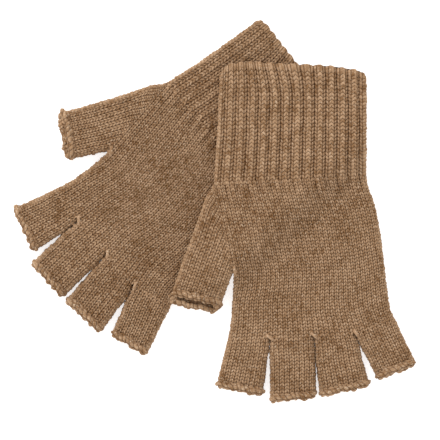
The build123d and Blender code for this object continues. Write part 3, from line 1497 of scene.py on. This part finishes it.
@dataclass
class Tie:
    """A few darning strands that close the gap where two tubes part. Millimetres."""

    at: Array
    angle: float
    height: float
    strand: float = 0.72
    reach: float = 2.7
    rise: float = 1.2

    ply_pitch: float = 1.5
    ply_depth: float = 0.16

    TREE: ClassVar[str] = "yarn_strands"
    STRANDS: ClassVar[tuple[tuple[Point, ...], ...]] = (
        ((-1.0, 0.35), (-0.1, 0.25), (0.95, -0.65)),
        ((-0.65, -0.25), (0.1, -0.2), (0.9, 0.05)),
    )

    @classmethod
    def tree(cls) -> bpy.types.NodeTree:
        """The geometry tree that thickens strands into plied yarn."""
        known = bpy.data.node_groups.get(cls.TREE)
        if known:
            return known
        labels = ("Thickness", "Ply Pitch", "Ply Depth")
        graph, given = Graph.geometry(cls.TREE, labels)
        thickness, pitch, depth = (graph.value(given, label) for label in labels)
        spacing = {"Curve": given.outputs["Geometry"], "Length": 0.22 * MM}
        fine = graph.node("GeometryNodeResampleCurve", {"mode": "LENGTH"}, spacing)
        run = graph.node("GeometryNodeSplineParameter")
        kept = graph.store(fine.outputs[0], "run", run.outputs["Length"])
        round_one = {"Resolution": 12, "Radius": 1.0}
        circle = graph.node("GeometryNodeCurvePrimitiveCircle", {"mode": "RADIUS"}, round_one)
        turn = graph.node("GeometryNodeSplineParameter")
        marked = graph.store(circle.outputs[0], "round", turn.outputs["Factor"])
        size = graph.node("ShaderNodeCombineXYZ", None, dict.fromkeys(range(3), thickness))
        sizing = {"Geometry": marked, "Scale": size.outputs[0]}
        sized = graph.node("GeometryNodeTransform", None, sizing)
        curves = {"Curve": kept, "Profile Curve": sized.outputs[0], "Fill Caps": True}
        tube = graph.node("GeometryNodeCurveToMesh", None, curves)
        phase = graph.attribute("run") / pitch + graph.attribute("round") * 2
        groove = abs(phase.fraction() * 2 - 1) ** 3
        normal = graph.node("GeometryNodeInputNormal").outputs[0]
        push = graph.vector("SCALE", normal, (0 - groove) * depth)
        moved = graph.node("GeometryNodeSetPosition", None, {"Geometry": tube.outputs[0], "Offset": push})
        # painted shade in the grooves between the plies, stored as shade for the finish
        graph.close(graph.store(moved.outputs[0], "shade", 1 - groove * 0.7), given.outputs["Material"])
        return graph.tree

    def build(self, name: str, place: Place, material: bpy.types.Material) -> bpy.types.Object:
        """Make the strands.

        Args:
            name: the piece's name.
            place: where its glove lies.
            material: the yarn's finish.

        Returns:
            The object.
        """
        curve = bpy.data.curves.new(name, "CURVE")
        curve.dimensions = "3D"
        turn = math.radians(self.angle)
        ahead = np.array([math.cos(turn), math.sin(turn)])
        aside = np.array([-ahead[1], ahead[0]])
        for number, strand in enumerate(self.STRANDS):
            spline = curve.splines.new("NURBS")
            bends = [strand[0], *strand, strand[-1]]
            lifts = (-1.6, -0.35, self.rise + 0.15 * number, -0.35, -1.6)
            plan = np.array([self.at + (ahead * a + aside * b * 0.6) * self.reach for a, b in bends])
            plan[0] += (plan[0] - plan[2]) * 0.12
            plan[-1] += (plan[-1] - plan[2]) * 0.12
            height = np.array([self.height + lift for lift in lifts])
            points = np.concatenate([plan, height[:, None]], -1)
            placed, _ = place.put(points, np.tile([0.0, 0.0, 1.0], (len(points), 1)))
            spline.points.add(len(placed) - 1)
            for point, where in zip(spline.points, placed):
                point.co = (*where, 1.0)
            spline.order_u = 3
            spline.use_endpoint_u = True
        holder = link(name + "_path", curve)
        sizes = {"Thickness": self.strand, "Ply Pitch": self.ply_pitch, "Ply Depth": self.ply_depth}
        given = {label: size * MM for label, size in sizes.items()}
        mesh = run_tree(holder, self.tree(), {**given, "Material": material})
        bpy.data.objects.remove(holder)
        clean(mesh, merge=0.001 * MM)
        return link(name, mesh)


# ---------------------------------------------------------------- a glove


@dataclass
class Digit:
    """One digit's sides on the plan: base and tip on the thumb's side, then on the little finger's."""

    base_a: Point
    tip_a: Point
    base_b: Point
    tip_b: Point

    def corners(self) -> tuple[Array, Array, Array, Array]:
        """The four points as arrays."""
        return tuple(np.array(p, float) for p in (self.base_a, self.tip_a, self.base_b, self.tip_b))


@dataclass
class Glove:
    """One glove: cuff, hand, five digits with rolled edges, and the ties at their crotches."""

    side: Side
    place: Place
    lay: Lay
    stitches: StitchTree
    finishes: dict[str, bpy.types.Material]
    tips: dict[str, tuple[Point, Point]]
    gauge: Gauge = field(default_factory=Gauge)
    plan: HandPlan = field(default_factory=HandPlan)
    roll_width: float = 3.4
    roll_overlap: float = 1.3
    finger_proud: float = 0.65
    thumb_proud: float = 1.1
    finger_wales: int = 11
    tie_back: float = 1.6
    cling: float = 0.55
    cling_lengths: tuple[float, float, float] = (8.0, 20.0, 5.0)
    bend: float = 12.0
    cuff_bend: float = 30.0
    cuff_courses: int = 30
    ribs: float = 1.0
    thumb_tie_angle: float = -70.0
    lips: dict[str, float] = field(default_factory=dict)
    knit: dict[str, float] = field(default_factory=dict)
    rope: dict[str, float] = field(
        default_factory=lambda: {
            "relief": 1.05 * MM,
            "sunk": 0.62,
            "unevenness": 0.9,
            "squareness": 2.4,
            "gap_floor": 0.2,
            "waviness": 0.7 * MM,
        }
    )
    cuff_rims: dict[Side, tuple[Point, ...]] = field(
        default_factory=lambda: {
            Side.RIGHT: ((0.0, 1.6), (0.012, 0.5), (0.03, -0.2), (0.07, -0.7), (0.4, -1.2), (1.0, -0.4)),
            Side.LEFT: (
                (0.0, 3.6),
                (0.012, 1.0),
                (0.04, -2.0),
                (0.075, -3.7),
                (0.14, -4.5),
                (0.26, -4.7),
                (0.415, -4.1),
                (0.59, -3.4),
                (0.76, -2.2),
                (0.90, -0.6),
                (0.955, 0.2),
                (0.985, 1.6),
                (1.0, 4.5),
            ),
        }
    )

    def digits(self) -> dict[str, Digit]:
        """The five digits by name."""
        k, (a, b, c) = self.plan.knuckles, self.plan.finger_crotches
        bases = {
            "index_finger": (self.plan.index_bend[2], (a, k)),
            "middle_finger": ((a, k), (b, k)),
            "ring_finger": ((b, k), (c, k)),
            "little_finger": ((c, k), self.plan.little_base),
            "thumb": (self.plan.thumb_outer, self.plan.crotch),
        }
        tips = self.tips
        return {name: Digit(one, tips[name][0], two, tips[name][1]) for name, (one, two) in bases.items()}

    def name(self, part: str) -> str:
        """A part's full name."""
        return f"{self.side.value}_{part}"

    def finish(self, piece: bpy.types.Object, node: str) -> bpy.types.Object:
        """Hide the CAD node that a piece stands for, and log the piece's faces.

        Args:
            piece: the finished object.
            node: the CAD node, without the glove's side.

        Returns:
            The same object.
        """
        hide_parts(self.name(node))
        log.info("%s: %d faces", piece.name, len(piece.data.polygons))
        return piece

    def build_cuff(self) -> None:
        """Knit the ribbed cuff."""
        plan = self.plan
        thumb_side = smooth_curve([*plan.cuff_side, plan.gusset_start])
        little_side = smooth_curve([(-43.0, 3.0), (-41.5, 34), plan.little_wrist])
        tube = Tube(
            side_a=thumb_side,
            side_b=little_side,
            wales=2 * plan.ribs_per_layer,
            courses=self.cuff_courses,
            lay=self.lay,
            gauge=self.gauge,
            tuck_start=False,
            tuck_end=True,
            open_start=True,
            rim=self.cuff_rims[self.side],
            lean=4.2,
            ribs=self.ribs,
            rib_fade=(1.3, 0.85),
            scallop=0.9,
        )
        piece = make_piece(self.name("cuff_knit"), [tube.sheet(self.place)])
        self.stitches.apply(piece, self.finishes["rib_knit"], **self.knit)
        self.finish(piece, "cuff")
        if self.side is Side.LEFT:
            middle = (plan.gusset_start[0] + plan.little_wrist[0]) / 2
            start = self.place.point(middle, plan.wrist)
            end = self.place.point(middle, plan.wrist - self.cuff_bend)
            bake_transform(piece)
        else:
            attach(piece, "right_glove")

    def build_hand(self) -> Hand:
        """Knit the hand with its gusset.

        Returns:
            The hand, which knows where its wales lie.
        """
        hand = Hand(self.plan, self.lay, self.gauge, self.place)
        palm = make_piece(self.name("hand_knit"), [hand.palm()])
        gusset = make_piece(self.name("gusset_knit"), [hand.gusset()], merge=True)
        for part in (palm, gusset):
            self.stitches.apply(part, self.finishes["stockinette_knit"], **self.knit)
        piece = join([palm, gusset])
        self.finish(piece, "hand")
        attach(piece, self.name("glove"))
        return hand

    def side_line(self, base: Array, end: Array) -> Array:
        """One side of a digit.

        From a crotch it first keeps close to its neighbour and only then parts from it.

        Args:
            base: where it starts.
            end: where it stops.

        Returns:
            The line's points.
        """
        steps = np.linspace(0, 1, 25)[:, None]
        line = base + (end - base) * steps
        neighbours = [
            (np.array(one.tip_b) - one.base_b, np.array(other.tip_a) - other.base_a, length)
            for one, other, length in zip(self.row(), self.row()[1:], self.cling_lengths)
            if np.allclose(one.base_b, base)
        ]
        for one, other, length in neighbours:
            middle = one / np.linalg.norm(one) + other / np.linalg.norm(other)
            middle = middle / np.linalg.norm(middle)
            rel = line - base
            run = rel @ middle
            off = rel - run[:, None] * middle
            gap = np.linalg.norm(off, axis=1)
            closed = self.cling * (1 - smooth_step(run, 0.45 * length, 1.5 * length))
            kept = np.maximum(gap - closed, np.minimum(gap, 0.05))
            line = base + run[:, None] * middle + off * (kept / np.maximum(gap, 1e-9))[:, None]
        return line

    def row(self) -> list[Digit]:
        """The four fingers in order."""
        return list(self.digits().values())[:4]

    def build_digit(self, name: str, digit: Digit, hand: Hand) -> None:
        """Knit one digit and roll its edge.

        Args:
            name: the digit.
            digit: its sides.
            hand: the hand that it grows from.
        """
        base_a, tip_a, base_b, tip_b = digit.corners()
        along_a, along_b = (v / np.linalg.norm(v) for v in (tip_a - base_a, tip_b - base_b))
        back = self.roll_width - self.roll_overlap
        side_a = self.side_line(base_a, tip_a - along_a * back)
        side_b = self.side_line(base_b, tip_b - along_b * back)
        thumb = name == "thumb"
        if thumb:
            # the gusset counts its wales from the crotch
            side_a, side_b = side_b, side_a
        length = (np.linalg.norm(side_a[-1] - side_a[0]) + np.linalg.norm(side_b[-1] - side_b[0])) / 2
        wales = self.plan.gusset_wales if thumb else self.finger_wales
        middle = float((base_a[0] + base_b[0]) / 2)
        phase = 0.0 if thumb else (hand.wale_at(middle) - wales / 2) % 1.0
        tube = Tube(
            side_a=side_a,
            side_b=side_b,
            wales=wales,
            courses=round(length / self.gauge.course),
            lay=self.lay,
            gauge=self.gauge,
            phase=phase,
            neck=0.9,
            lip=self.lips.get(name, 0.0),
        )
        piece = make_piece(self.name(f"{name}_knit"), [tube.sheet(self.place)])
        self.stitches.apply(piece, self.finishes["stockinette_knit"], **self.knit)
        self.finish(piece, name)
        start = (base_a + base_b) / 2
        across = (base_a - base_b) / np.linalg.norm(base_a - base_b)
        ahead = np.array([-across[1], across[0]])
        end = start + ahead * self.bend
        body = self.name(name)
        bend = {"start": self.place.point(*start), "end": self.place.point(*end)}
        self.name("glove")
        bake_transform(piece)
        ring = RolledEdge(
            end_a=tip_a,
            end_b=tip_b,
            forward=(along_a + along_b) / np.linalg.norm(along_a + along_b),
            lay=self.lay,
            proud=self.thumb_proud if thumb else self.finger_proud,
            lip_shift=self.lips.get(name, 0.0),
        )
        rolled = ring.build(self.name(f"{name}_rolled_edge_knit"), self.place)
        self.stitches.apply(rolled, self.finishes["rolled_edge_knit"], **self.rope)
        self.finish(rolled, f"{name}_rolled_edge")
        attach(rolled, body)

    def build_ties(self) -> None:
        """Darn the crotches."""
        back, (a, b, c) = self.plan.knuckles - self.tie_back, self.plan.finger_crotches
        places = {
            "index_middle_tie": ((a, back), -24.0),
            "middle_ring_tie": ((b, back), -30.0),
            "ring_little_tie": ((c, back), -48.0),
            "thumb_tie": ((40.8, 117.9), self.thumb_tie_angle),
        }
        for part, (at, angle) in places.items():
            tie = Tie(at=np.array(at), angle=angle, height=self.lay.thick - 0.2)
            piece = tie.build(self.name(f"{part}_yarn"), self.place, self.finishes["tie_yarn"])
            self.finish(piece, part)
            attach(piece, self.name("glove"))

    def build(self) -> None:
        """Make every piece of the glove."""
        self.build_cuff()
        hand = self.build_hand()
        for name, digit in self.digits().items():
            self.build_digit(name, digit, hand)
        self.build_ties()


# Tips of each digit, where its rolled edge ends: on the thumb's side, then on the little finger's side
RIGHT_TIPS = {
    "index_finger": ((52.3, 185.1), (24.6, 192.6)),
    "middle_finger": ((20.4, 198.2), (-7.4, 197.2)),
    "ring_finger": ((-10.2, 197.0), (-38.2, 193.8)),
    "little_finger": ((-43.5, 189.4), (-66.2, 181.2)),
    "thumb": ((77.6, 125.5), (53.2, 139.9)),
}
LEFT_TIPS = {
    "index_finger": ((55.0, 187.6), (27.3, 194.2)),
    "middle_finger": ((22.9, 198.4), (-4.5, 196.6)),
    "ring_finger": ((-6.9, 196.6), (-36.7, 191.2)),
    "little_finger": ((-42.0, 187.5), (-65.2, 179.4)),
    "thumb": ((79.6, 131.5), (50.2, 139.0)),
}
RIGHT_PLAN = HandPlan(
    thumb_outer=(69.2, 108.2),
    gusset_start=(50.4, 66.0),
    gusset_bend=((55.3, 74.0), (61.8, 91.0)),
    cuff_side=((43.8, -1.0), (44.9, 14.0), (47.3, 42.0)),
    index_bend=((41.2, 130.0), (42.1, 146.0), (45.4, 161.0), (52.3, 185.1)),
)
LEFT_PLAN = HandPlan(index_bend=((42.2, 130.0), (43.7, 146.0), (47.1, 161.0), (55.0, 187.6)))


# ---------------------------------------------------------------- studio


@dataclass(frozen=True)
class Studio:
    """Pale floor, soft light and a camera straight above. Metres."""

    view_width: float = 0.264
    aim: Point = (0.0033, -0.0058)
    camera_height: float = 2.5
    sensor: float = 36.0
    floor_size: float = 60.0
    floor_drop: float = 0.0004
    sky: float = 0.95

    def build(self) -> None:
        """Set the scene round the gloves."""
        scene = bpy.context.scene
        lens = self.sensor * self.camera_height / self.view_width
        data = bpy.data.cameras.new("camera")
        data.sensor_width, data.lens = self.sensor, lens
        data.clip_start, data.clip_end = 0.05, 100.0
        camera = link("camera", data)
        camera.location = (*self.aim, self.camera_height)
        scene.camera = camera

        mesh = bpy.data.meshes.new("floor")
        half = self.floor_size / 2
        corners = [(-half, -half, 0), (half, -half, 0), (half, half, 0), (-half, half, 0)]
        mesh.from_pydata(corners, [], [(0, 1, 2, 3)])
        floor = link("floor", mesh)
        floor.location.z = -self.floor_drop
        mesh.materials.append(PaleFloor().material())

        world = bpy.data.worlds.new("studio")
        world.use_nodes = True
        sky = world.node_tree.nodes["Background"].inputs
        sky["Color"].default_value, sky["Strength"].default_value = rgb(1, 1, 1), self.sky
        scene.world = world
        self.lamp("key", (-0.9, 1.0, 1.25), 0.6, 12.0)
        scene.view_settings.view_transform = "Standard"

    def lamp(self, name: str, at: tuple[float, float, float], size: float, power: float) -> None:
        """Hang one soft square lamp that points at the gloves.

        Args:
            name: the lamp's name.
            at: where it hangs, in metres.
            size: its side, in metres.
            power: its power, in watts.
        """
        data = bpy.data.lights.new(name, "AREA")
        data.size, data.energy = size, power
        lamp = link(name, data)
        lamp.location = at
        lamp.rotation_euler = (-Vector(at)).to_track_quat("-Z", "Y").to_euler()
        lamp.visible_camera = False


def main() -> None:
    """Build both gloves and the studio."""
    logging.basicConfig(level=logging.INFO, format="%(name)s %(message)s")
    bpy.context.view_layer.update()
    low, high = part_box("right_hand")
    thick = (high.z - low.z) / MM
    lift = (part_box("left_hand")[1].z) / MM - thick
    plan = HandPlan()
    # the index finger's hinge lies in the middle of its base line, half a clearance past the knuckles
    known = ((plan.index_base + plan.finger_crotches[0]) / 2, plan.knuckles + CLEARANCE / 2)
    lower, upper = (Place.from_frame(side, known) for side in (Side.RIGHT, Side.LEFT))
    upper.drape = LowerGlove(lower, lift).height
    wools = (
        MelangeWool("stockinette_knit"),
        MelangeWool("rib_knit"),
        MelangeWool("rolled_edge_knit", lightness=0.98, pale_share=0.75),
        MelangeWool("tie_yarn", lightness=1.0, pale_share=0.8),
    )
    finishes = {wool.name: wool.material() for wool in wools}
    stitches = StitchTree()
    stitches.build()
    shared = {"lay": Lay(thick), "stitches": stitches, "finishes": finishes}
    right = Glove(
        Side.RIGHT,
        lower,
        tips=RIGHT_TIPS,
        gauge=Gauge(slant=0.8),
        plan=RIGHT_PLAN,
        lips={"thumb": 2.8},
        cling=0.85,
        ribs=0.5,
        thumb_tie_angle=-38.0,
        cling_lengths=(13.5, 12.0, 12.0),
        knit={"relief": 1.42 * MM, "gap_floor": 0.10, "unevenness": 0.6},
        **shared,
    )
    left = Glove(
        Side.LEFT,
        upper,
        tips=LEFT_TIPS,
        plan=LEFT_PLAN,
        lips={"thumb": 5.2, "little_finger": 1.0},
        cling_lengths=(8.0, 20.0, 10.0),
        **shared,
    )
    for glove in (right, left):
        log.info("knitting the %s glove", glove.side.value)
        glove.build()
    Studio().build()


if __name__ == "__main__":
    main()
